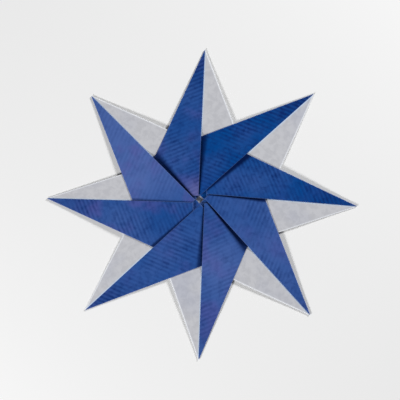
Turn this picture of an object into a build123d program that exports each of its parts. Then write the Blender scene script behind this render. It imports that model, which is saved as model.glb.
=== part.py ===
from build123d import *
from math import asin, cos, degrees, radians, sin
import os

"""An eight-pointed star made of eight square sheets of two-coloured paper.

Each sheet is one point of the star. A corner of the sheet is the tip, and the
sheet's diagonal is the point's centre line, which runs to the middle of the star.
Three creases shape the sheet:

- the left edge is folded forwards, on to the centre line, as the front flap
- the right edge is folded backwards, on to the centre line, as the back flap
- the far corner is folded forwards, under the front flap, as the foot flap

The sheets go round the star like the vanes of a pinwheel. The left half of each
sheet slides between the front flap and the base of the sheet before it, and that
sheet's right half slides between the base and the back flap of this one. The
feet stop short of the middle, so the star has a small hole there.

A sheet therefore climbs on its left and sinks on its right. Its panels are flat
facets between spokes, numbered from -2 on the left to 2 on the right, with the
sheet's own spoke as 0. Every layer bends at the same spokes, so two layers that
keep apart at the corners of a facet keep apart all over it. The panels are made
too large, and the creases and the cut edges then trim them to the sheet's outline.

The star is handmade. Its spokes swirl anticlockwise of the tips, they meet a
little off the middle of the star, and each tip has its own place.

Lengths are in millimetres. +Z is up, +Y runs towards the tip of the first sheet,
and the origin is under the middle of the star, on the surface that it lies on.
"""


# Driving sizes
sheet_side = 75.0  # edge of each square sheet
paper = 0.10  # thickness of the paper
clearance = 0.03  # air between two layers that lie on each other
hole_inradius = 1.45  # from the middle of the hole to most of the foot creases
corner_relief = 0.60  # how far the foot crease stops short of the side creases
back_lift = 0.10  # how far the cut edge of a back flap springs down

# Handwork that all the sheets share
hole_shift = (-0.4, 0.9)  # from the middle of the star to the middle of the hole
hub_reach = 1.4  # where the spokes start, round the middle of the hole
edge_miss = 1.05  # how far a front flap's cut edge passes from the hole's middle
rim_swirl = 2.5  # how far the rim is turned anticlockwise of the tips, in degrees
corner_slip = (-1.5, -1.0)  # of the folded far corner: clockwise, and outwards

# Handwork that each sheet has for itself, clockwise from the first
tip_slips = (-2.0, 0.2, 0.5, 1.2, 1.5, 1.5, -1.1, -2.0)  # outwards, at the tip
tip_swings = (1.0, 0.9, 1.2, 0.4, 0.0, 1.0, 0.4, -1.7)  # clockwise, in degrees
foot_slips = (0.3, 0.0, 1.9, 0.0, 0.3, 0.0, 1.7, 0.0)  # outwards, at the foot crease
front_lifts = (0.6, 0.5, 0.5, 0.75, 0.5, 0.6, 0.55, 0.8)  # of the front cut edge

# Handwork at the notches between the points, clockwise from the one after the first
notch_slips = (-0.3, 0.4, -0.4, 0.2, -0.8, -0.7, -0.8, -2.8)  # outwards
notch_swings = (0.0, 0.0, -1.2, -0.8, -1.4, -1.3, -4.2, -3.0)  # clockwise, in degrees

# Folding angles
points = 8
turn = 360 / points  # from one sheet to the next, and the angle of a tip
fold = turn / 2  # from a side crease to the centre line

# Plan of a sheet
tip_reach = sheet_side + hole_inradius
rim_reach = tip_reach * sin(radians(fold)) / sin(radians(turn + fold))
notch_reach = tip_reach * sin(radians(fold)) / sin(radians(turn))
panel_reach = 1.12 * rim_reach  # of the untrimmed panels, past every side crease
hub_swirl = degrees(asin(edge_miss / hub_reach))
foot_leg = sheet_side * (2**0.5 - 1)  # half the length of the foot crease
hole_middle = Vector(*hole_shift)

# Heights of the underside of each layer
pitch = paper + clearance  # from one layer to the next
base_step = 2 * pitch  # a base sinks by itself and its foot flap at each spoke
front_stack = 4 * pitch  # front flap's cut edge, above the highest of its base
back_stack = 3 * pitch  # back flap's cut edge, below the lowest of its base
floor_drop = 2 * base_step + back_stack + back_lift  # from a tip to the floor
tall = 4 * floor_drop  # more than the height of the star

UP = (0, 0, 1)
DOWN = (0, 0, -1)
LEFT_SPOKES = (-2, -1, 0)
RIGHT_SPOKES = (0, 1, 2)
ALL_SPOKES = (-2, -1, 0, 1, 2)
PAST_SPOKE = 2.1  # the right side reaches a little past its last spoke


def base_height(spoke):
    """Height of the base on a spoke: it sinks from left to right."""
    return floor_drop - base_step * spoke


def front_height(spoke):
    """Height of the front flap: it lies over the next sheet's front flap."""
    return base_height(-2) + front_stack + pitch * spoke


def back_height(spoke):
    """Height of the back flap: it lies under the back flap of the sheet before."""
    return base_height(2) - back_stack + pitch * spoke


def bearing_point(clockwise, reach, height=0):
    """A point by its bearing, clockwise from +Y, and its reach from the middle."""
    angle = radians(90 - clockwise)
    return Vector(reach * cos(angle), reach * sin(angle), height)


def hub_point(sheet, spoke, height=0):
    """Where a spoke starts, beside the middle of the hole."""
    return hole_middle + bearing_point(turn * (sheet + spoke) - hub_swirl, hub_reach, height)


def rim_point(sheet, spoke, height=0):
    """Where a spoke ends, a little past the side crease that crosses it."""
    return bearing_point(turn * (sheet + spoke) - rim_swirl, panel_reach, height)


def tip_point(sheet, height=0):
    """A sheet's tip, where the hands left it."""
    sheet = sheet % points
    return bearing_point(turn * sheet + tip_swings[sheet], tip_reach + tip_slips[sheet], height)


def notch_point(sheet):
    """The notch between a sheet's point and the next one, where their creases cross."""
    sheet = sheet % points
    bearing = turn * sheet + fold + notch_swings[sheet]
    return bearing_point(bearing, notch_reach + notch_slips[sheet])


def edge_point(sheet, height):
    """The point abreast of the rim on the cut edge, which is straight in plan."""
    hub = hub_point(sheet, 0)
    along = tip_point(sheet) - hub
    return hub + along * (panel_reach / along.length) + Vector(0, 0, height)


def panel_facets(hubs, rims, tip, outer):
    """Corners of a panel's facets, between the spokes and then out to the tip."""
    facets = [[hub, start, end] for hub, start, end in zip(hubs, rims, rims[1:])]
    facets += [[start, rim, end] for start, rim, end in zip(hubs, rims[1:], hubs[1:])]
    facets += [[rims[i], tip, rims[i + 1]] for i in outer]
    return facets


def base_facets(sheet, rise=0):
    """The base panel, on both sides of the centre line."""
    hubs = [hub_point(sheet, spoke, base_height(spoke) + rise) for spoke in ALL_SPOKES]
    rims = [
        rim_point(sheet, spoke, base_height(spoke) + rise)
        for spoke in (*ALL_SPOKES, PAST_SPOKE)
    ]
    return panel_facets(hubs, rims, tip_point(sheet, base_height(0) + rise), outer=(1, 2))


def front_facets(sheet, rise=0):
    """The front flap, left of the centre line."""
    hubs = [hub_point(sheet, spoke, front_height(spoke) + rise) for spoke in LEFT_SPOKES]
    rims = [rim_point(sheet, spoke, front_height(spoke) + rise) for spoke in (-2, -1)]
    rims.append(edge_point(sheet, front_height(0) + front_lifts[sheet] + rise))
    tip = tip_point(sheet, base_height(0) + pitch + rise)
    return panel_facets(hubs, rims, tip, outer=(1,))


def back_facets(sheet, rise=0):
    """The back flap, right of the centre line."""
    hubs = [hub_point(sheet, spoke, back_height(spoke) + rise) for spoke in RIGHT_SPOKES]
    rims = [edge_point(sheet, back_height(0) - back_lift + rise)]
    rims += [rim_point(sheet, spoke, back_height(spoke) + rise) for spoke in (1, 2)]
    rims.append(rim_point(sheet, PAST_SPOKE, back_height(2) + rise))
    tip = tip_point(sheet, base_height(0) - pitch + rise)
    return panel_facets(hubs, rims, tip, outer=(0,))


def add_layer(facets, depth, direction=UP):
    """Adds a panel to the part that is being built, with its depth straight up or down."""
    for corners in facets:
        extrude(Face(Wire.make_polygon(corners)), amount=depth, dir=direction)


def side_line(sheet, side):
    """The side crease in plan: a point on it, and its direction away from the tip."""
    tip = tip_point(sheet)
    notch = notch_point(sheet if side > 0 else sheet - 1)
    return tip, (notch - tip).normalized()


def side_plane(sheet, side, inset=0):
    """Upright plane along a side crease, -1 left or 1 right, that faces into the sheet."""
    start, along = side_line(sheet, side)
    inwards = along.cross(Vector(UP)) * side
    return Plane(origin=start + inwards * inset, z_dir=inwards)


def foot_plane(sheet):
    """Upright plane along the foot crease that faces the tip."""
    outwards = bearing_point(turn * sheet, 1)
    return Plane(origin=hole_middle + outwards * (hole_inradius + foot_slips[sheet]), z_dir=outwards)


def side_crease(sheet, side, lower, upper_top):
    """The fold along one side of a sheet, from one layer's underside to another's top."""
    start, along = side_line(sheet, side)
    with BuildPart() as below:
        add_layer(upper_top, tall, DOWN)
    with BuildPart() as crease:
        add_layer(lower, tall)
        add(below.part, mode=Mode.INTERSECT)
        with BuildSketch():
            with BuildLine():
                Line(start, start + along * 2 * sheet_side)
            trace(line_width=2 * paper)
        extrude(amount=tall, mode=Mode.INTERSECT)
    return crease.part


def foot_flap(sheet):
    """The far corner of the sheet, folded forwards on to the base, with its crease."""
    foot = foot_plane(sheet)
    plan = Plane(origin=foot.origin, x_dir=foot.z_dir.cross(Vector(UP)), z_dir=UP)
    half = foot_leg - corner_relief
    with BuildPart() as crease:
        add_layer(base_facets(sheet), pitch + paper)
        with BuildSketch(plan):
            Rectangle(2 * half, 2 * paper)
        extrude(amount=tall, mode=Mode.INTERSECT)
    with BuildPart() as flap:
        add_layer(base_facets(sheet, rise=pitch), paper)
        with BuildSketch(plan):
            with BuildLine():
                Polyline(
                    (-half, 0),
                    (-half, corner_relief),
                    (corner_slip[0], foot_leg + corner_slip[1]),
                    (half, corner_relief),
                    (half, 0),
                    close=True,
                )
            make_face()
        extrude(amount=tall, mode=Mode.INTERSECT)
        add(crease.part)
    return flap.part


def folded_sheet(sheet):
    """One whole sheet: base, flaps and creases, trimmed to the sheet's outline."""
    seat = paper + clearance
    with BuildPart() as whole:
        add_layer(base_facets(sheet), paper)
        add_layer(front_facets(sheet), paper)
        add_layer(back_facets(sheet), paper)
        add(side_crease(sheet, -1, base_facets(sheet), front_facets(sheet, rise=paper)))
        add(side_crease(sheet, 1, back_facets(sheet), base_facets(sheet, rise=paper)))
        add(foot_flap(sheet))
        # The sheet ends at its own creases
        split(bisect_by=foot_plane(sheet), keep=Keep.TOP)
        split(bisect_by=side_plane(sheet, -1), keep=Keep.TOP)
        split(bisect_by=side_plane(sheet, 1), keep=Keep.TOP)
        # Its corners stop at the creases of the two sheets that hold them
        split(bisect_by=side_plane(sheet - 1, -1, seat), keep=Keep.TOP)
        split(bisect_by=side_plane(sheet + 1, 1, seat), keep=Keep.TOP)
    return whole


os.makedirs("parts", exist_ok=True)
for number in range(points):
    folded = folded_sheet(number)
    folded.part.label = f"sheet_{number + 1}"
    export_step(folded.part, f"parts/sheet_{number + 1}.step")
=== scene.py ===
# An eight-pointed origami star, as a Blender add-on: folded sheets, papers and a stage.
#
# Eight square sheets of two-coloured paper go round the star like the vanes of a
# pinwheel. Each object starts as the flat, unfolded sheet, and the node tree
# "Fold Sheet" folds it and sets it in its place between its neighbours.
#
# Lengths are in metres. +Z is up, +Y runs towards the tip of the first sheet, and the
# origin is under the middle of the star, on the table.

from math import cos, pi, radians, sin

import bpy
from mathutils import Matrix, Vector
from mathutils.geometry import intersect_point_line


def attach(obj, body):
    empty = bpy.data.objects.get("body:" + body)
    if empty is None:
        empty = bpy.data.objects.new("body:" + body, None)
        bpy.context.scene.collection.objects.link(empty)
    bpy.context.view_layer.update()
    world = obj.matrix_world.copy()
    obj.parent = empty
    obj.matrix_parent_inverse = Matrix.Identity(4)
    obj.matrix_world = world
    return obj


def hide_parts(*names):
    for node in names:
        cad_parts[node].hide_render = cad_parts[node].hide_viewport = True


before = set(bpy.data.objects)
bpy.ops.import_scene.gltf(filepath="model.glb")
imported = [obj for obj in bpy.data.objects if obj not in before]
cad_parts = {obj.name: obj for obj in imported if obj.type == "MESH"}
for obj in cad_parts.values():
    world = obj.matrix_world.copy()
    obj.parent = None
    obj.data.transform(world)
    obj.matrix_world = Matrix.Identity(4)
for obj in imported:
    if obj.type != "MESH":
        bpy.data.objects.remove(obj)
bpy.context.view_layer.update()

bl_info = {
    "name": "Origami Star",
    "version": (1, 0, 0),
    "blender": (4, 5, 0),
    "location": "3D Viewport > Sidebar > Origami Star",
    "description": "Folds eight paper squares into a flat pinwheel star",
    "category": "Add Mesh",
}

POINTS = 8
TURN = 2 * pi / POINTS  # from one sheet to the next, and the angle of a tip
FOLD = TURN / 2  # from a side crease to the centre line
FOOT_LEG = 2**0.5 - 1  # half the length of the foot crease, as a share of a sheet's side
MM = 0.001
UP = Vector((0, 0, 1))

# Kinds of socket
FLOAT, VECTOR = "NodeSocketFloat", "NodeSocketVector"
GEOMETRY, MATERIAL = "NodeSocketGeometry", "NodeSocketMaterial"

# Two inputs and the output of a Mix node, by their places, for each type of data
MIX_SOCKETS = {"FLOAT": (2, 3, 0), "VECTOR": (4, 5, 1), "RGBA": (6, 7, 2)}


# Settings


def length(name, millimetres, description):
    """A length property, given in millimetres and kept in metres."""
    return bpy.props.FloatProperty(
        name=name, description=description, default=millimetres * MM,
        min=0, precision=5, subtype="DISTANCE", unit="LENGTH",
    )


def angle(name, degrees, description):
    """An angle property, given in degrees and kept in radians."""
    return bpy.props.FloatProperty(
        name=name, description=description, default=radians(degrees),
        subtype="ANGLE", unit="ROTATION",
    )


def offset(name, millimetres, description):
    """Two lengths, given in millimetres and kept in metres."""
    return bpy.props.FloatVectorProperty(
        name=name, description=description, size=2, precision=5, unit="LENGTH",
        default=tuple(part * MM for part in millimetres),
    )


def share(name, value, description):
    """A property from 0 to 1."""
    return bpy.props.FloatProperty(
        name=name, description=description, default=value,
        min=0, max=1, subtype="FACTOR",
    )


def colour(name, value, description):
    """A linear colour property."""
    return bpy.props.FloatVectorProperty(
        name=name, description=description, default=value,
        min=0, max=1, size=3, subtype="COLOR",
    )


def each_sheet(name, values, description):
    """One number for each sheet, clockwise from the top of the star."""
    return bpy.props.FloatVectorProperty(
        name=name, description=description, default=values, size=POINTS, precision=3,
    )


class STAR_sizes(bpy.types.PropertyGroup):
    """Sizes of the sheets, and the handwork that makes each one a little different."""

    sheet_side: length("Sheet Side", 75, "Edge of each square sheet")
    paper: length("Paper", 0.10, "Thickness of the paper")
    clearance: length("Clearance", 0.03, "Air between two layers that lie on each other")
    hole_inradius: length("Hole", 1.45, "From the middle of the hole to most foot creases")
    back_lift: length(
        "Back Lift", 0.10, "How far the cut edge of a back flap springs down"
    )
    crease_bulge: length("Crease Bulge", 0.28, "Largest half width of a rounded crease")
    droop: length("Droop", 0.70, "How far the tips hang below the rim")
    tuck: share("Tuck", 0.05, "How far the hidden corners are drawn in")
    rim_swirl: angle(
        "Rim Swirl", 2.5, "How far the rim is turned anticlockwise of the tips"
    )
    hole_shift: offset(
        "Hole Shift", (-0.4, 0.9), "From the middle of the star to the middle of the hole"
    )
    corner_slip: offset(
        "Corner Slip", (-1.5, -1.0), "Of the folded far corner: clockwise, and outwards"
    )
    tip_slips: each_sheet(
        "Tip Slips", (-2.0, 0.2, 0.5, 1.2, 1.5, 1.5, -1.1, -2.0),
        "Outwards, in millimetres",
    )
    tip_swings: each_sheet(
        "Tip Swings", (1.0, 0.9, 1.2, 0.4, 0.0, 1.0, 0.4, -1.7), "Clockwise, in degrees"
    )
    notch_slips: each_sheet(
        "Notch Slips", (-0.3, 0.4, -0.4, 0.2, -0.8, -0.7, -0.8, -2.8),
        "Notches after the sheets outwards, in millimetres",
    )
    notch_swings: each_sheet(
        "Notch Swings", (0.0, 0.0, -1.2, -0.8, -1.4, -1.3, -4.2, -3.0),
        "Notches after the sheets clockwise, in degrees",
    )
    foot_slips: each_sheet(
        "Foot Slips", (0.3, 0, 1.9, 0, 0.3, 0, 1.7, 0),
        "Foot creases outwards, in millimetres",
    )
    edge_misses: each_sheet(
        "Edge Misses", (0.7, 1.35, 2.95, 2.1, 2.3, 1.95, 1.5, 1.65),
        "How far the front cut edges pass from the hole's middle, in millimetres",
    )
    front_lifts: each_sheet(
        "Front Lifts", (0.7, 0.55, 0.45, 0.77, 0.5, 0.4, 0.05, 0.77),
        "Rise of the front cut edges, in millimetres",
    )
    valleys: each_sheet(
        "Valleys", (0.15, 0.12, 0.07, 0.15, 0.12, 0.06, 0.04, 0.18),
        "How much of the next flap slopes down to a front cut edge, as a share",
    )


class STAR_colours(bpy.types.PropertyGroup):
    """Colours of the paper, with painted shade, highlights and sheen, and how they change
    from sheet to sheet.
    """

    blue: colour("Blue", (0.001, 0.060, 0.265), "Main colour of the printed face")
    navy: colour("Navy", (0.003, 0.022, 0.135), "Grooves and blots of the printed face")
    periwinkle: colour(
        "Periwinkle", (0.078, 0.144, 0.405), "Pale parts of the printed face"
    )
    # Painted shade: the dark colour of a printed face beside the front cut edge of the
    # sheet before, in that raised flap's shadow
    cleft_shade: colour("Cleft", (0.0005, 0.006, 0.050), "The printed face deep in the clefts")
    # Violet: partly the paper's own patches, partly painted sheen of its ribs
    violet: colour("Violet", (0.110, 0.085, 0.330), "Patches on the printed face")
    lilac: colour("Lilac", (0.180, 0.165, 0.400), "Rubbed places round the middle")
    white: colour("White", (0.552, 0.557, 0.590), "The plain reverse")
    fibre: colour("Fibre", (0.420, 0.425, 0.460), "Mottling of the plain reverse")
    # Painted highlights: the light line where the front cut edge lies on the plain face,
    # and the light along the plain face's creases
    edge_highlight: colour("Hem", (0.520, 0.670, 0.860), "The plain face beside the front cut edge")
    bright: colour("Bright", (0.780, 0.800, 0.850), "The plain face along its creases")
    # Real wear of the cut edges, and on the creases of the printed face also a painted
    # highlight
    worn_and_highlit: colour("Worn", (0.220, 0.300, 0.560), "Rubbed creases and cut edges")
    floor: colour("Floor", (0.88, 0.88, 0.88), "The table under the star")
    rib_pitch: length("Rib Pitch", 1.95, "From one rib of the printed face to the next")
    rib_height: length("Rib Height", 0.009, "Half the height of the ribs")
    rib_angle: angle("Rib Angle", 22, "Across the ribs, on the unfolded sheet")
    # Paleness: partly each sheet's own tone, partly painted sheen, as the flaps catch the
    # light differently
    paleness: each_sheet(
        "Paleness", (0.28, 0.05, 0.14, 0.60, 0.64, 0.38, 0.44, 0.92),
        "From deep to pale blue",
    )
    # Strength of the painted shade beside the front cut edge of the sheet before
    cleft_shades: each_sheet(
        "Clefts", (0.85, 1.0, 1.0, 0.95, 0.8, 0.9, 0.6, 0.92),
        "How dark the next sheet is beside a front cut edge",
    )
    seeds: each_sheet(
        "Seeds", (93.9, 3.7, 7.4, 261.5, 46.1, 112.4, 147.4, 57.2), "Patterns of the paper"
    )
    # Partly the paper's own violet, partly painted sheen of the ribs
    violets: each_sheet(
        "Violets", (0.30, 0.08, 0.12, 0.25, 0.35, 0.30, 0.45, 0.55),
        "How much violet shows",
    )
    blushes: each_sheet(
        "Blushes", (0.8, 0, 0, 0, 0, 0, 0, 0), "How much lilac shows round the middle"
    )


class STAR_stage(bpy.types.PropertyGroup):
    """The camera and the light."""

    view_width: length("View Width", 196.2, "How much of the table the picture spans")
    camera_height: length("Camera Height", 900, "From the table to the camera")
    view_turn: angle(
        "View Turn", 0.7, "How far the star is turned clockwise in the picture"
    )
    view_shift: offset(
        "View Shift", (-0.25, 0.59), "Where the camera stands over the star"
    )
    lamp_power: bpy.props.FloatProperty(
        name="Lamp Power", description="Power of each of the two soft lamps",
        default=9.8, min=0, subtype="POWER",
    )
    lamp_size: length("Lamp Size", 200, "Diameter of each lamp")
    sky: bpy.props.FloatProperty(
        name="Sky", description="Strength of the light from all sides", default=0.12, min=0
    )


# Node trees


class Field:
    """A socket of a node tree, with arithmetic that adds Math nodes to the tree."""

    def __init__(self, tree, socket):
        self.tree = tree
        self.socket = socket

    def math(self, operation, *others, clamp=False):
        """The output of a Math node whose first input is this field."""
        inputs = dict(enumerate((self, *others)))
        return add_field(
            self.tree, "ShaderNodeMath", inputs, operation=operation, use_clamp=clamp
        )

    def __add__(self, other):
        return self.math("ADD", other)

    def __sub__(self, other):
        return self.math("SUBTRACT", other)

    def __mul__(self, other):
        return self.math("MULTIPLY", other)

    def __truediv__(self, other):
        return self.math("DIVIDE", other)

    def flipped(self):
        """One minus the field."""
        return self.math("MULTIPLY_ADD", -1, 1)

    def clamped(self):
        """The field, held between 0 and 1."""
        return self.math("ADD", 0, clamp=True)

    def vector(self, operation, *others, output=0, **inputs):
        """An output of a Vector Math node whose first input is this field."""
        inputs = dict(enumerate((self, *others))) | inputs
        return add_field(
            self.tree, "ShaderNodeVectorMath", inputs, output, operation=operation
        )

    def moved(self, direction, distance):
        """A vector field, moved along a direction."""
        return self.vector("ADD", direction.vector("SCALE", Scale=distance))

    def parts(self):
        """The x, y and z of a vector field."""
        node = add_node(self.tree, "ShaderNodeSeparateXYZ", {0: self})
        return [Field(self.tree, output) for output in node.outputs]


def set_input(node, key, value):
    """Gives one input of a node a link or a value."""
    if isinstance(value, Field):
        value.tree.links.new(value.socket, node.inputs[key])
    else:
        node.inputs[key].default_value = value


def add_node(tree, kind, inputs=(), **settings):
    """Adds a node, makes its settings and gives its inputs a link or a value."""
    node = tree.nodes.new(kind)
    for name, value in settings.items():
        setattr(node, name, value)
    for key, value in dict(inputs).items():
        set_input(node, key, value)
    return node


def add_field(tree, kind, inputs=(), output=0, **settings):
    """Adds a node and returns one of its outputs."""
    return Field(tree, add_node(tree, kind, inputs, **settings).outputs[output])


def smooth(field, start, end, low=0.0, high=1.0):
    """The field, mapped with a soft start and end."""
    inputs = {
        "Value": field, "From Min": start, "From Max": end, "To Min": low, "To Max": high,
    }
    return add_field(
        field.tree, "ShaderNodeMapRange", inputs, interpolation_type="SMOOTHSTEP"
    )


def mixed(factor, start, end, kind="FLOAT"):
    """A number, point or colour between two others; only a colour stops at its ends."""
    first, second, output = MIX_SOCKETS[kind]
    return add_field(
        factor.tree, "ShaderNodeMix", {0: factor, first: start, second: end}, output,
        data_type=kind, clamp_factor=kind == "RGBA",
    )


def opaque(tint):
    """A linear colour with its alpha."""
    return (*tint, 1.0)


def toned(tint, factor, tone):
    """A tint, turned towards a tone by a factor from 0 to 1."""
    return mixed(factor, tint, opaque(tone), "RGBA")


def new_group(name, kind, inputs, outputs):
    """A node group with named sockets; returns it with the fields of its inputs."""
    group = bpy.data.node_groups.new(name, kind)
    for title, (socket, default) in inputs.items():
        item = group.interface.new_socket(title, in_out="INPUT", socket_type=socket)
        if default is not None:
            item.default_value = default
    for title, socket in outputs.items():
        group.interface.new_socket(title, in_out="OUTPUT", socket_type=socket)
    entry = group.nodes.new("NodeGroupInput")
    fields = {title: Field(group, entry.outputs[title]) for title in inputs}
    return group, fields


def close_group(group, outputs):
    """Adds the group's output node."""
    add_node(group, "NodeGroupOutput", outputs)


def use_group(tree, group, inputs):
    """Adds a shader group to a tree; returns its outputs by name."""
    node = add_node(tree, "ShaderNodeGroup", inputs, node_tree=group)
    return {output.name: Field(tree, output) for output in node.outputs}


def rib_phase(sheet, pitch, slant):
    """How far on the wave of the ribs each place of the unfolded sheet is, in radians."""
    x, y, _ = sheet.parts()
    over = x * slant.math("COSINE") + y * slant.math("SINE")
    return over / pitch * (2 * pi)


# The fold


# Along the reach, as shares of the rim's: from where to where each form comes in
STACKING = (1.07, 0.93)  # the layers stand apart inside the rim
CLOSING = (1.02, 1.20)  # the flaps close on the base towards the tip
DROOPING = (1.0, 2.4)  # the tip hangs
BILLOW_RIM = (1.02, 0.90)  # the flaps billow, from the rim inwards
BILLOW_HUB = (0.0, 0.20)  # the flaps billow, from the middle outwards
BLUSHING = (0.45, 0.10)  # the lilac shows round the middle

# Flaps and creases
TUCKING = (0.75, 1.0)  # share of the way to the foot crease where the corners draw in
LAYERS_BELOW = 7  # from the table to a tip
EDGE_SAG = 0.8  # share of the lift before that is left beside the next cut edge
BILLOW_POWER = 0.6  # how steeply a flap rises from its side crease
SIDE_STRIPS = 6  # a side crease draws in one such part of the sheet's width
FOOT_STRIPS = 12  # the foot crease draws in one such part of the length
WELD = 0.0001 * MM  # distance between corners that become one

# Painted shade in the clefts beside the front cut edges
CLEFT_SHADE_WIDTH = 5  # least width, in thicknesses of the paper
CLEFT_SHADE_FADE = (0.4, 1.0, 1.0, 0.0)  # shares of the width, and darkness there
CLEFT_SHADE_FOOT = 1.4  # reach at which the painted shade is full, as a share of the foot crease's

# The mesh of a flat sheet
PLACE_NAMES = ("across", "along", "bend_left", "bend_right", "bend_foot")
ROWS, FOOT_ROWS = 150, 40  # from the tip to the foot crease, and on the foot flap
BASE_COLUMNS, FLAP_COLUMNS, CREASE_COLUMNS = 36, 32, 6
TIP_GAP, CORNER_GAP = 0.004, 0.015  # left off at the tip and at the far corner

FOLD_INPUTS = {
    "Flat Sheet": (GEOMETRY, None),
    "Tip": (VECTOR, None),
    "Left Corner": (VECTOR, None),
    "Right Corner": (VECTOR, None),
    "Foot Apex": (VECTOR, None),
    "Hole Middle": (VECTOR, None),
    "Edge Place": (FLOAT, 0.5),
    "Edge Before": (VECTOR, None),
    "Edge Side": (VECTOR, None),
    "Bearing": (FLOAT, 0.0),
    "Rim Swirl": (FLOAT, 0.0),
    "Rim": (FLOAT, 0.032),
    "Droop": (FLOAT, 0.0007),
    "Front Lift": (FLOAT, 0.0005),
    "Lift Before": (FLOAT, 0.0005),
    "Cleft Shade Before": (FLOAT, 1.0),
    "Valley": (FLOAT, 0.12),
    "Foot Before": (FLOAT, 0.0015),
    "Back Lift": (FLOAT, 0.0001),
    "Paper": (FLOAT, 0.0001),
    "Clearance": (FLOAT, 0.00003),
    "Crease Bulge": (FLOAT, 0.0003),
    "Tuck": (FLOAT, 0.05),
    "Rib Pitch": (FLOAT, 0.002),
    "Rib Angle": (FLOAT, 0.4),
    "Rib Height": (FLOAT, 0.00001),
    "Seed": (FLOAT, 0.0),
    "Paleness": (FLOAT, 0.5),
    "Violet": (FLOAT, 0.5),
    "Blush": (FLOAT, 0.0),
    "Printed Face": (MATERIAL, None),
    "Plain Face": (MATERIAL, None),
    "Cut Edge": (MATERIAL, None),
}


def bearing(clockwise, reach):
    """A point by its bearing, clockwise from +Y, and its reach."""
    return Vector((reach * sin(clockwise), reach * cos(clockwise), 0))


def rim_reach(sizes):
    """Where a side crease crosses the next sheet's cut edge, from the star's middle."""
    return (sizes.sheet_side + sizes.hole_inradius) * sin(FOLD) / sin(TURN + FOLD)


def notch_point(sizes, sheet):
    """The notch between a sheet's point and the next one, where their creases cross."""
    sheet = sheet % POINTS
    reach = (sizes.sheet_side + sizes.hole_inradius) * sin(FOLD) / sin(TURN)
    swing = radians(sizes.notch_swings[sheet])
    return bearing((sheet + 0.5) * TURN + swing, reach + sizes.notch_slips[sheet] * MM)


def cut_edge(sizes, sheet):
    """A sheet's tip, and the point where its front cut edge passes the hole's middle."""
    middle = Vector((*sizes.hole_shift, 0))
    tip = bearing(
        sheet * TURN + radians(sizes.tip_swings[sheet]),
        sizes.sheet_side + sizes.hole_inradius + sizes.tip_slips[sheet] * MM,
    )
    aside = (middle - tip).cross(UP).normalized()
    return tip, middle + aside * sizes.edge_misses[sheet] * MM


def sheet_plan(sizes, sheet):
    """Corners of a folded sheet in plan, as the hands left them."""
    tip, pass_point = cut_edge(sizes, sheet)
    tip_before, pass_before = cut_edge(sizes, sheet - 1)
    outwards = bearing(sheet * TURN, 1)
    along = outwards.cross(UP)
    foot = Vector((*sizes.hole_shift, 0))
    foot += outwards * (sizes.hole_inradius + sizes.foot_slips[sheet] * MM)

    def on_foot(point):
        """Where the line from the tip through a point meets the foot crease."""
        across = (point - tip).cross(along).z
        return tip + (point - tip) * ((foot - tip).cross(along).z / across)

    left = on_foot(notch_point(sizes, sheet - 1))
    right = on_foot(notch_point(sizes, sheet))
    edge = on_foot(pass_point)
    clockwise, out = sizes.corner_slip
    apex = foot + outwards * (sizes.sheet_side * FOOT_LEG + out) + along * clockwise
    return {
        "Tip": tip,
        "Left Corner": left,
        "Right Corner": right,
        "Foot Apex": apex,
        "Edge Place": (edge - left).length / (right - left).length,
        "Edge Before": pass_before,
        "Edge Side": (tip_before - pass_before).cross(UP).normalized(),
    }


def fold_share(bend):
    """How far round a crease a point has come, as a share of its height."""
    return (bend * pi).math("COSINE").math("MULTIPLY_ADD", -0.5, 0.5)


def attribute(tree, name, kind="FLOAT"):
    """An attribute of the sheet, in a tree of Geometry Nodes."""
    return add_field(
        tree, "GeometryNodeInputNamedAttribute", {"Name": name}, data_type=kind
    )


def store(geometry, name, value, kind="FLOAT", domain="POINT"):
    """The geometry, with one more attribute."""
    return add_field(
        geometry.tree, "GeometryNodeStoreNamedAttribute",
        {"Geometry": geometry, "Name": name, "Value": value},
        data_type=kind, domain=domain,
    )


def sharp_plan(given, across, along):
    """Where the folded sheet lies in plan, as if its creases were sharp."""
    # The cut edges have their own place on the foot line, and hidden corners draw in
    off_sides = (across * 2 - 1).math("ABSOLUTE").flipped()
    place = across + (given["Edge Place"] - 0.5) * off_sides
    drawn = smooth(along, *TUCKING) * given["Tuck"]
    place = place + place.math("MULTIPLY_ADD", -1, 0.5) * drawn
    foot_line = mixed(place, given["Left Corner"], given["Right Corner"], "VECTOR")
    plan = mixed(along.math("MINIMUM", 1), given["Tip"], foot_line, "VECTOR")
    return mixed((along - 1).math("MAXIMUM", 0), plan, given["Foot Apex"], "VECTOR")


def spoke_number(given, from_hole):
    """Which spoke a point is on, clockwise from the sheet's own spoke."""
    own_frame = add_field(
        from_hole.tree, "ShaderNodeVectorRotate",
        {"Vector": from_hole, "Angle": given["Bearing"]}, rotation_type="Z_AXIS",
    )
    sideways, outwards, _ = own_frame.parts()
    return (sideways.math("ARCTAN2", outwards) + given["Rim Swirl"]) / TURN


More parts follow.
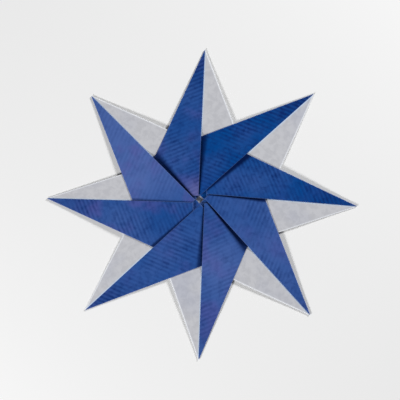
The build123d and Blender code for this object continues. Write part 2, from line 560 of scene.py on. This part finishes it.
def with_skins(sheet, given):
    """Gives a folded sheet its two faces, its cut edges and their materials."""
    tree = sheet.tree
    normal = add_field(tree, "GeometryNodeInputNormal")
    sheet = store(sheet, "skin_normal", normal, "FLOAT_VECTOR")
    normal = attribute(tree, "skin_normal", "FLOAT_VECTOR")
    half = normal.vector("SCALE", Scale=given["Paper"] * -0.5)
    sheet = add_field(
        tree, "GeometryNodeSetPosition", {"Geometry": sheet, "Offset": half}
    )
    raised = add_node(
        tree, "GeometryNodeExtrudeMesh",
        {"Mesh": sheet, "Offset": normal, "Offset Scale": given["Paper"],
         "Individual": False},
        mode="FACES",
    )
    outputs = ("Mesh", "Top", "Side")
    upper, plain, cut = (Field(tree, raised.outputs[name]) for name in outputs)
    upper = add_field(
        tree, "GeometryNodeSetShadeSmooth",
        {"Geometry": upper, "Selection": cut, "Shade Smooth": False},
    )
    lower = add_field(tree, "GeometryNodeFlipFaces", {"Mesh": sheet})
    join = tree.nodes.new("GeometryNodeJoinGeometry")
    for skin in (upper, lower):
        tree.links.new(skin.socket, join.inputs[0])
    welded = add_field(
        tree, "GeometryNodeMergeByDistance",
        {"Geometry": Field(tree, join.outputs[0]), "Distance": WELD},
    )
    folded = add_field(tree, "GeometryNodeRealizeInstances", {0: welded})
    faces = ((True, "Printed Face"), (plain, "Plain Face"), (cut, "Cut Edge"))
    for selection, material in faces:
        folded = add_field(
            tree, "GeometryNodeSetMaterial",
            {"Geometry": folded, "Selection": selection, "Material": given[material]},
        )
    return folded


def fold_tree():
    """Folds a flat sheet, sets it in the star and gives it thickness and materials."""
    tree, given = new_group(
        "Fold Sheet", "GeometryNodeTree", FOLD_INPUTS, {"Folded Sheet": GEOMETRY}
    )
    across, along, left, right, foot = (attribute(tree, name) for name in PLACE_NAMES)
    over_left, over_right, over_foot = (fold_share(bend) for bend in (left, right, foot))
    plan = sharp_plan(given, across, along)
    reach = plan.vector("LENGTH", output="Value")
    from_hole = plan.vector("SUBTRACT", given["Hole Middle"])
    spoke = spoke_number(given, from_hole)

    def by_rim(reach, start, end):
        """How far a form has come in, between two shares of the rim's reach."""
        return smooth(reach, given["Rim"] * start, given["Rim"] * end)

    # Heights of the undersides: the layers are stacked high inside the rim, lie close
    # on it, and close on each other beyond it
    pitch = given["Paper"] + given["Clearance"]
    floor_drop = pitch * LAYERS_BELOW + given["Back Lift"]
    stacked, closed = by_rim(reach, *STACKING), by_rim(reach, *CLOSING)
    droop = by_rim(reach, *DROOPING) * given["Droop"]
    base = floor_drop - pitch * spoke * (stacked + 1) - droop

    def opening(spoke, stack, slope, rim_stack, rim_slope):
        """Height between the base and a flap, in layers and in layers for each spoke,
        inside the rim and on it."""
        on_rim = (spoke * rim_slope + rim_stack).math("MAXIMUM", 1)
        layers = mixed(stacked, on_rim, spoke * slope + stack)
        return mixed(closed, layers, 1.0) * pitch

    # A flap billows from the cut edge of the flap before it up to its own cut edge
    hump = by_rim(reach, *BILLOW_RIM) * by_rim(reach, *BILLOW_HUB)
    from_edge = plan.vector("SUBTRACT", given["Edge Before"])
    from_edge = from_edge.vector("DOT_PRODUCT", given["Edge Side"], output="Value")
    past_edge = (from_edge / reach / TURN).clamped()
    billow = mixed(past_edge, given["Lift Before"] * EDGE_SAG, given["Front Lift"])
    from_crease = (across * 2).clamped().math("POWER", BILLOW_POWER)
    front_rise = billow * smooth(past_edge, 0, given["Valley"]) * hump * from_crease
    front = base + opening(spoke, stack=8, slope=3, rim_stack=3, rim_slope=2) + front_rise
    back_drop = given["Back Lift"] * hump * (across.flipped() * 2).clamped()
    back_spoke = spoke.math("MAXIMUM", 0)
    under = opening(back_spoke, stack=7, slope=-3, rim_stack=3, rim_slope=-2)
    back = floor_drop - pitch * back_spoke * (stacked + 1) - droop - under - back_drop
    height = base + (front - base) * over_left + (back - base) * over_right
    height = height + pitch * over_foot

    # Rounded creases stay inside the sheet's outline
    def crease(bend, gap, strip, start, end, sign):
        """The way in which a crease bulges, and how far it does."""
        direction = end.vector("SUBTRACT", start).vector("CROSS_PRODUCT", (0, 0, sign))
        bulge = (gap.math("ABSOLUTE") * 0.5).math("MINIMUM", given["Crease Bulge"])
        bulge = bulge * ((bend * pi).math("SINE") - strip.flipped().clamped())
        return direction.vector("NORMALIZE"), bulge

    tip, left_end, right_end = given["Tip"], given["Left Corner"], given["Right Corner"]
    from_foot = (along - 1).math("ABSOLUTE")
    creases = (
        crease(left, front - base, across * SIDE_STRIPS, tip, left_end, 1),
        crease(right, base - back, across.flipped() * SIDE_STRIPS, tip, right_end, -1),
        crease(foot, pitch, from_foot * FOOT_STRIPS, right_end, left_end, -1),
    )
    for direction, distance in creases:
        plan = plan.moved(direction, distance)

    # Ribs stand up on the printed face and sink on the plain one
    flat = add_field(tree, "GeometryNodeInputPosition")
    ribs = rib_phase(flat, given["Rib Pitch"], given["Rib Angle"]).math("SINE")
    turned = (over_left + over_right + over_foot) * 2 - 1
    height = height + ribs * given["Rib Height"] * turned + given["Rib Height"]
    height = height + given["Paper"] * 0.5
    lifted = add_field(tree, "ShaderNodeCombineXYZ", {"Z": height})
    plan = plan.vector("ADD", lifted)

    # What the papers read: places on the flat sheet, its own values, its marks and the
    # mask of its painted shade
    sheet = store(given["Flat Sheet"], "UVMap", flat, "FLOAT2", "CORNER")
    for name in ("Seed", "Paleness", "Violet"):
        sheet = store(sheet, name.lower(), given[name])
    hub_reach = from_hole.vector("LENGTH", output="Value")
    foot_before = given["Foot Before"]
    # Painted shade: the printed face darkens beside the front cut edge of the sheet
    # before, where that raised flap shades it
    width = reach * TURN * given["Valley"] + given["Paper"] * CLEFT_SHADE_WIDTH
    cleft_shade = smooth(from_edge / width, *CLEFT_SHADE_FADE) * left * given["Cleft Shade Before"]
    cleft_shade = cleft_shade * smooth(hub_reach, foot_before, foot_before * CLEFT_SHADE_FOOT)
    sheet = store(sheet, "cleft_shade", cleft_shade)
    sheet = store(sheet, "blush", by_rim(hub_reach, *BLUSHING) * given["Blush"])
    sheet = add_field(
        tree, "GeometryNodeSetPosition", {"Geometry": sheet, "Position": plan}
    )
    close_group(tree, {0: with_skins(sheet, given)})
    return tree


def ramp(start, end, count):
    """Evenly spaced numbers, both ends included."""
    return [start + (end - start) * i / count for i in range(count + 1)]


def unfolded(side, across, along, bend_left, bend_right, bend_foot):
    """Where a place of the fold pattern lies on the unfolded sheet."""
    tip, half = Vector((0, side, 0)), side * FOOT_LEG
    foot = Vector((half * (2 * across - 1), 0, 0))
    point = tip.lerp(foot, min(along, 1)).lerp(Vector((0, half, 0)), max(along - 1, 0))
    for bend, line_x in ((bend_left, -half), (bend_right, half)):
        if bend > 0.5:
            on_line, _ = intersect_point_line(point, tip, Vector((line_x, 0, 0)))
            point = on_line * 2 - point
    if bend_foot > 0.5:
        point.y = -point.y
    return point


def flat_sheet(name, side):
    """The unfolded sheet as a mesh, with its places on the fold pattern as attributes."""
    # Across the sheet: front flap, left crease, base, right crease and back flap
    front = [(across, 1.0, 0.0) for across in ramp(0.5, 0, FLAP_COLUMNS)]
    left = [(0.0, bend, 0.0) for bend in ramp(1, 0, CREASE_COLUMNS)[1:-1]]
    base = [(across, 0.0, 0.0) for across in ramp(0, 1, BASE_COLUMNS)]
    right = [(1.0, 0.0, bend) for bend in ramp(0, 1, CREASE_COLUMNS)[1:-1]]
    back = [(across, 0.0, 1.0) for across in ramp(1, 0.5, FLAP_COLUMNS)]
    columns = front + left + base + right + back
    width = len(columns)
    places = [
        (across, along, bend_left, bend_right, 0.0)
        for along in ramp(TIP_GAP, 1, ROWS)
        for across, bend_left, bend_right in columns
    ]
    faces = [
        (i + width, i + width + 1, i + 1, i)
        for row in range(ROWS) for i in range(row * width, row * width + width - 1)
    ]

    # The foot flap goes on from the base's part of the last row
    foot_rows = [(1.0, bend) for bend in ramp(0, 1, CREASE_COLUMNS)[1:-1]]
    foot_rows += [(along, 1.0) for along in ramp(1, 2 - CORNER_GAP, FOOT_ROWS)]
    first = ROWS * width + len(front) + len(left)
    above = range(first, first + BASE_COLUMNS + 1)
    for along, bend in foot_rows:
        below = range(len(places), len(places) + BASE_COLUMNS + 1)
        places += [(across, along, 0.0, 0.0, bend) for across, _, _ in base]
        faces += [
            (below[i], below[i + 1], above[i + 1], above[i]) for i in range(BASE_COLUMNS)
        ]
        above = below
    mesh = bpy.data.meshes.new(name)
    mesh.from_pydata([unfolded(side, *place) for place in places], [], faces)
    for title, values in zip(PLACE_NAMES, zip(*places)):
        mesh.attributes.new(title, "FLOAT", "POINT").data.foreach_set("value", values)
    mesh.shade_smooth()
    return mesh


def set_inputs(modifier, values):
    """Sets a modifier's inputs by the names of the tree's sockets."""
    for item in modifier.node_group.interface.items_tree:
        if item.in_out == "INPUT" and item.name in values:
            modifier[item.identifier] = values[item.name]


def folded_object(name, flat, tree, values):
    """Folds a flat sheet and returns it as a plain mesh object."""
    source = bpy.data.objects.new(f"{name}_flat", flat)
    bpy.context.scene.collection.objects.link(source)
    modifier = source.modifiers.new("Fold Sheet", "NODES")
    modifier.node_group = tree
    set_inputs(modifier, values)
    graph = bpy.context.evaluated_depsgraph_get()
    mesh = bpy.data.meshes.new_from_object(source.evaluated_get(graph), depsgraph=graph)
    source.modifiers.remove(modifier)
    bpy.data.objects.remove(source)
    mesh.name = name
    for extra in (*PLACE_NAMES, "skin_normal"):
        if extra in mesh.attributes:
            mesh.attributes.remove(mesh.attributes[extra])
    made = bpy.data.objects.new(name, mesh)
    bpy.context.scene.collection.objects.link(made)
    return made


# Papers


# Marks on the unfolded sheet: from which distance to which each one changes, in metres,
# and its strength at both
HANDLED = (45 * MM, 75 * MM, 1.0, 0.55)  # paleness, from the tip
HELD = (10 * MM, 30 * MM, 0.35, 0.0)  # darkness, from the tip
RUBBED_AND_HIGHLIT = (0.0, 0.22 * MM, 0.35, 0.0)  # wear and a painted highlight, from a crease
FRAYED = (0.0, 0.25 * MM, 0.3, 0.0)  # wear, from a cut edge
DYED = (0.0, 0.6 * MM, 0.45, 0.0)  # dye on the plain face, from a cut edge
EDGE_HIGHLIT = (0.1 * MM, 0.7 * MM, 0.8, 0.0)  # painted highlight on the plain face, from the centre line, where the front cut edge lies on it
CREASE_HIGHLIT = (0.1 * MM, 0.6 * MM, 0.9, 0.0)  # painted highlight on the plain face, from a crease

# Patterns: from which value of the noise to which each one changes, and its strength
# at both
PATCHED = (0.46, 0.68, 0.0, 1.0)  # violet, partly the paper's own, partly painted sheen
GROOVED = (0.35, 0.65, 0.12, 0.58)  # depth of colour between the ribs
BLOTTED = (0.42, 0.70, 0.0, 0.52)  # dark blots
FLECKED = (0.52, 0.72, 0.0, 0.12)  # pale fibres
SPARED = (0.25, 0.55, 0.35, 1.0)  # wear and crease highlight that come and go
DULLED = (0.40, 0.62, 0.0, 0.42)  # grey fibres of the plain face
SHOWING = (0.45, 0.75, 0.0, 0.16)  # blue that shows through the plain face

# What each pattern adds to the sheet's seed
BLOT_SEED, CLOUD_SEED, PATCH_SEED, GROOVE_SEED = 7, 13, 21, 31

FIBRE_TOOTH, BLOT_TOOTH = 0.6, 0.4  # shares of both in the height of the paper's tooth
CLOUDINESS = 0.9  # how much the clouds change the paleness
CALMNESS = 0.75  # how much weaker the marks are on the palest sheet
BLUSH_FLOOR = 0.4  # how much lilac shows where there are no blots
CLEFT_SHADE_DEPTH = 0.95  # how dark the painted shade in the darkest cleft is
WAVER = 1.1  # how far the ribs stray, in radians of their wave
RIB_RELIEF = 0.5  # of the ribs in the bump, beside the paper's tooth
BUMP_STRENGTH = 0.5


def places_group(side):
    """Distances on the unfolded sheet from its cut edges, creases, centre line and tip."""
    group, given = new_group(
        "Sheet Places", "ShaderNodeTree", {"Sheet": (VECTOR, (0, 0, 0))},
        {"Cut Edge": FLOAT, "Crease": FLOAT, "Middle": FLOAT, "Tip": FLOAT},
    )
    x, y, _ = given["Sheet"].parts()
    off = x.math("ABSOLUTE")
    half_diagonal = side / 2**0.5
    from_middle = off + (y - (side - half_diagonal)).math("ABSOLUTE")
    to_edge = (from_middle * -1 + half_diagonal) / 2**0.5
    to_side = (off * cos(FOLD) - (y * -1 + side) * sin(FOLD)).math("ABSOLUTE")
    to_foot = y.math("ABSOLUTE").math("MAXIMUM", off - side * FOOT_LEG)
    creases = to_side.math("MINIMUM", to_foot)
    to_tip = given["Sheet"].vector("DISTANCE", (0, side, 0), output="Value")
    close_group(
        group, {"Cut Edge": to_edge, "Crease": creases, "Middle": off, "Tip": to_tip}
    )
    return group


def noise(sheet, seed, scale, detail, roughness=0.5, distortion=0.0):
    """A noise value on the sheet, with its own pattern for each seed."""
    inputs = {
        "Vector": sheet, "W": seed, "Scale": scale, "Detail": detail,
        "Roughness": roughness, "Distortion": distortion,
    }
    return add_field(sheet.tree, "ShaderNodeTexNoise", inputs, noise_dimensions="4D")


def mottle_group():
    """Fine fibres, soft blots and broad clouds of a handmade paper, and its tooth."""
    group, given = new_group(
        "Paper Mottle", "ShaderNodeTree",
        {"Sheet": (VECTOR, (0, 0, 0)), "Seed": (FLOAT, 0.0)},
        {"Fibres": FLOAT, "Blots": FLOAT, "Clouds": FLOAT, "Height": FLOAT},
    )
    sheet, seed = given["Sheet"], given["Seed"]
    fibres = noise(sheet, seed, scale=1400, detail=4, roughness=0.7)
    blots = noise(
        sheet, seed + BLOT_SEED, scale=330, detail=3, roughness=0.6, distortion=0.6
    )
    clouds = noise(sheet, seed + CLOUD_SEED, scale=42, detail=2)
    tooth = fibres * FIBRE_TOOTH + blots * BLOT_TOOTH
    close_group(
        group, {"Fibres": fibres, "Blots": blots, "Clouds": clouds, "Height": tooth}
    )
    return group


def ribs_group():
    """Soft dark and light bands across the sheet."""
    group, given = new_group(
        "Paper Ribs", "ShaderNodeTree",
        {"Sheet": (VECTOR, (0, 0, 0)), "Pitch": (FLOAT, 0.002), "Angle": (FLOAT, 0.4),
         "Seed": (FLOAT, 0.0)},
        {"Crest": FLOAT},
    )
    sheet = given["Sheet"]
    waver = (noise(sheet, given["Seed"], scale=110, detail=1) - 0.5) * WAVER
    phase = rib_phase(sheet, given["Pitch"], given["Angle"]) + waver
    close_group(group, {"Crest": phase.math("SINE").math("MULTIPLY_ADD", 0.5, 0.5)})
    return group


class Paper:
    """A material, with its sheet's coordinates, seed and mottle ready to use."""

    def __init__(self, name, groups):
        self.material = bpy.data.materials.new(name)
        self.material.use_nodes = True
        self.tree = self.material.node_tree
        self.sheet = add_field(self.tree, "ShaderNodeUVMap", uv_map="UVMap")
        self.seed = self.attribute("seed")
        both = {"Sheet": self.sheet, "Seed": self.seed}
        self.mottle = use_group(self.tree, groups["mottle"], both)

    def attribute(self, name):
        """A number that the fold stored on the sheet."""
        return add_field(
            self.tree, "ShaderNodeAttribute", output="Fac", attribute_name=name
        )

    def finish(self, tint, roughness, specular, bump, depth):
        """Sets the shader's sockets."""
        relief = add_field(
            self.tree, "ShaderNodeBump",
            {"Strength": BUMP_STRENGTH, "Distance": depth, "Height": bump},
        )
        sockets = {
            "Base Color": tint, "Roughness": roughness, "Specular IOR Level": specular,
            "Normal": relief,
        }
        for name, value in sockets.items():
            set_input(self.tree.nodes["Principled BSDF"], name, value)
        return self.material


def printed_paper(colours, groups):
    """The ribbed and mottled blue face."""
    paper = Paper("printed_paper", groups)
    sheet, seed, mottle = paper.sheet, paper.seed, paper.mottle
    places = use_group(paper.tree, groups["places"], {"Sheet": sheet})
    crest = use_group(
        paper.tree, groups["ribs"],
        {"Sheet": sheet, "Seed": seed, "Pitch": colours.rib_pitch,
         "Angle": colours.rib_angle},
    )["Crest"]
    paleness = paper.attribute("paleness")

    # The dye: deep or pale, with violet patches, and lilac where it was rubbed; the
    # paleness of each sheet and its violet are partly painted sheen
    clouds = (mottle["Clouds"] - 0.5) * CLOUDINESS
    pale = (paleness * smooth(places["Tip"], *HANDLED) + clouds).clamped()
    tint = toned(opaque(colours.blue), pale, colours.periwinkle)
    patches = smooth(noise(sheet, seed + PATCH_SEED, scale=60, detail=3), *PATCHED)
    tint = toned(tint, patches * paper.attribute("violet"), colours.violet)
    blush = paper.attribute("blush") * (mottle["Blots"] + BLUSH_FLOOR)
    tint = toned(tint, blush, colours.lilac)

    # The print: grooves, blots and a dark tip, weaker on a pale sheet, and pale fibres
    grooves = smooth(noise(sheet, seed + GROOVE_SEED, scale=75, detail=1), *GROOVED)
    marks = crest.flipped() * grooves + smooth(mottle["Blots"], *BLOTTED)
    marks = marks + smooth(places["Tip"], *HELD)
    tint = toned(tint, marks * (paleness * CALMNESS).flipped(), colours.navy)
    tint = toned(tint, smooth(mottle["Fibres"], *FLECKED), colours.periwinkle)

    # Wear of the cut edges, wear and a painted highlight on the creases, and painted shade
    # in the clefts
    frayed = smooth(places["Cut Edge"], *FRAYED)
    wear_and_highlight = smooth(places["Crease"], *RUBBED_AND_HIGHLIT).math("MAXIMUM", frayed)
    tint = toned(tint, wear_and_highlight * smooth(mottle["Blots"], *SPARED), colours.worn_and_highlit)
    tint = toned(tint, paper.attribute("cleft_shade") * CLEFT_SHADE_DEPTH, colours.cleft_shade)
    return paper.finish(
        tint, roughness=mixed(mottle["Blots"], 0.50, 0.75), specular=0.03,
        bump=mottle["Height"] + crest * RIB_RELIEF, depth=0.06 * MM,
    )


def plain_paper(colours, groups):
    """The matt, greyish white reverse."""
    paper = Paper("plain_paper", groups)
    mottle = paper.mottle
    places = use_group(paper.tree, groups["places"], {"Sheet": paper.sheet})
    tint = toned(opaque(colours.white), smooth(mottle["Blots"], *DULLED), colours.fibre)
    tint = toned(tint, smooth(mottle["Clouds"], *SHOWING), colours.periwinkle)
    tint = toned(tint, smooth(places["Cut Edge"], *DYED), colours.worn_and_highlit)
    # Painted highlights along the centre line, under the front cut edge, and along the
    # creases
    tint = toned(tint, smooth(places["Middle"], *EDGE_HIGHLIT), colours.edge_highlight)
    tint = toned(tint, smooth(places["Crease"], *CREASE_HIGHLIT), colours.bright)
    return paper.finish(
        tint, roughness=mixed(mottle["Fibres"], 0.72, 0.92), specular=0.25,
        bump=mottle["Height"], depth=0.05 * MM,
    )


def cut_paper(colours, groups):
    """The cut edges, where the dye shows through."""
    paper = Paper("cut_paper", groups)
    tint = toned(opaque(colours.blue), paper.mottle["Fibres"], colours.worn_and_highlit)
    return paper.finish(
        tint, roughness=0.85, specular=0.5, bump=paper.mottle["Height"], depth=0.03 * MM
    )


# Operators


TABLE_SIDE = 6.0
LAMP_PLACE = (0.62, 0.62, 0.37)  # of the right lamp; the left one is on the other side
SENSOR_WIDTH = 36.0  # of the camera, in millimetres
NEAREST = 0.05  # that the camera sees


class STAR_OT_sheets(bpy.types.Operator):
    """Folds the eight sheets and gives them their papers"""

    bl_idname = "star.sheets"
    bl_label = "Fold Sheets"

    def execute(self, context):
        sizes, colours = context.scene.star_sizes, context.scene.star_colours
        groups = {
            "places": places_group(sizes.sheet_side),
            "mottle": mottle_group(),
            "ribs": ribs_group(),
        }
        shared = {
            "Hole Middle": (*sizes.hole_shift, 0.0),
            "Rim Swirl": sizes.rim_swirl,
            "Rim": rim_reach(sizes),
            "Droop": sizes.droop,
            "Back Lift": sizes.back_lift,
            "Paper": sizes.paper,
            "Clearance": sizes.clearance,
            "Crease Bulge": sizes.crease_bulge,
            "Tuck": sizes.tuck,
            "Rib Pitch": colours.rib_pitch,
            "Rib Angle": colours.rib_angle,
            "Rib Height": colours.rib_height,
            "Printed Face": printed_paper(colours, groups),
            "Plain Face": plain_paper(colours, groups),
            "Cut Edge": cut_paper(colours, groups),
        }
        tree = fold_tree()
        flat = flat_sheet("flat_sheet", sizes.sheet_side)
        for sheet in range(POINTS):
            own = {
                "Bearing": sheet * TURN,
                "Front Lift": sizes.front_lifts[sheet] * MM,
                "Lift Before": sizes.front_lifts[sheet - 1] * MM,
                "Cleft Shade Before": colours.cleft_shades[sheet - 1],
                "Valley": sizes.valleys[sheet - 1],
                "Foot Before": sizes.hole_inradius + sizes.foot_slips[sheet - 1] * MM,
                "Seed": colours.seeds[sheet],
                "Paleness": colours.paleness[sheet],
                "Violet": colours.violets[sheet],
                "Blush": colours.blushes[sheet],
            }
            name = f"folded_sheet_{sheet + 1}"
            made = folded_object(name, flat, tree, shared | sheet_plan(sizes, sheet) | own)
            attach(made, "root")
            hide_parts(f"sheet_{sheet + 1}")
        bpy.data.meshes.remove(flat)
        return {"FINISHED"}


class STAR_OT_stage(bpy.types.Operator):
    """Sets the table, the two lamps and the camera"""

    bl_idname = "star.stage"
    bl_label = "Set Stage"

    def execute(self, context):
        scene, settings = context.scene, context.scene.star_stage
        tint = context.scene.star_colours.floor
        bpy.ops.mesh.primitive_plane_add(size=TABLE_SIDE, location=(0, 0, 0))
        floor = context.object
        floor.name = "floor"
        surface = bpy.data.materials.new("floor")
        surface.use_nodes = True
        shader = surface.node_tree.nodes["Principled BSDF"]
        finish = {"Base Color": opaque(tint), "Roughness": 0.9, "Specular IOR Level": 0.1}
        for name, value in finish.items():
            set_input(shader, name, value)
        floor.data.materials.append(surface)

        world = bpy.data.worlds.new("studio")
        world.use_nodes = True
        background = world.node_tree.nodes["Background"]
        set_input(background, "Color", (1, 1, 1, 1))
        set_input(background, "Strength", settings.sky)
        scene.world = world

        x, y, z = LAMP_PLACE
        for name, side in (("softbox_left", -1), ("softbox_right", 1)):
            lamp = bpy.data.lights.new(name, "AREA")
            lamp.shape = "DISK"
            lamp.size = settings.lamp_size
            lamp.energy = settings.lamp_power
            softbox = bpy.data.objects.new(name, lamp)
            softbox.location = (side * x, side * y, z)
            aim = (-softbox.location).to_track_quat("-Z", "Y")
            softbox.rotation_euler = aim.to_euler()
            scene.collection.objects.link(softbox)

        data = bpy.data.cameras.new("camera")
        data.sensor_width = SENSOR_WIDTH
        data.lens = data.sensor_width * settings.camera_height / settings.view_width
        data.clip_start = NEAREST
        camera = bpy.data.objects.new("camera", data)
        camera.location = (*settings.view_shift, settings.camera_height)
        camera.rotation_euler = (0, 0, settings.view_turn)
        scene.collection.objects.link(camera)
        scene.camera = camera
        scene.view_settings.view_transform = "Standard"
        return {"FINISHED"}


class STAR_PT_panel(bpy.types.Panel):
    """The star's settings and steps"""

    bl_label = "Origami Star"
    bl_idname = "STAR_PT_panel"
    bl_space_type = "VIEW_3D"
    bl_region_type = "UI"
    bl_category = "Origami Star"

    def draw(self, context):
        for name in SETTINGS:
            group = getattr(context.scene, name)
            box = self.layout.box()
            for key in group.__annotations__:
                box.prop(group, key)
        for operator in OPERATORS:
            self.layout.operator(operator.bl_idname)


SETTINGS = {
    "star_sizes": STAR_sizes,
    "star_colours": STAR_colours,
    "star_stage": STAR_stage,
}
OPERATORS = (STAR_OT_sheets, STAR_OT_stage)
CLASSES = (*SETTINGS.values(), *OPERATORS, STAR_PT_panel)


def register():
    for cls in CLASSES:
        bpy.utils.register_class(cls)
    for name, kind in SETTINGS.items():
        setattr(bpy.types.Scene, name, bpy.props.PointerProperty(type=kind))


def unregister():
    for name in SETTINGS:
        delattr(bpy.types.Scene, name)
    for cls in reversed(CLASSES):
        bpy.utils.unregister_class(cls)


def main():
    """Makes the star and its stage."""
    register()
    bpy.ops.star.sheets()
    bpy.ops.star.stage()


if __name__ == "__main__":
    main()
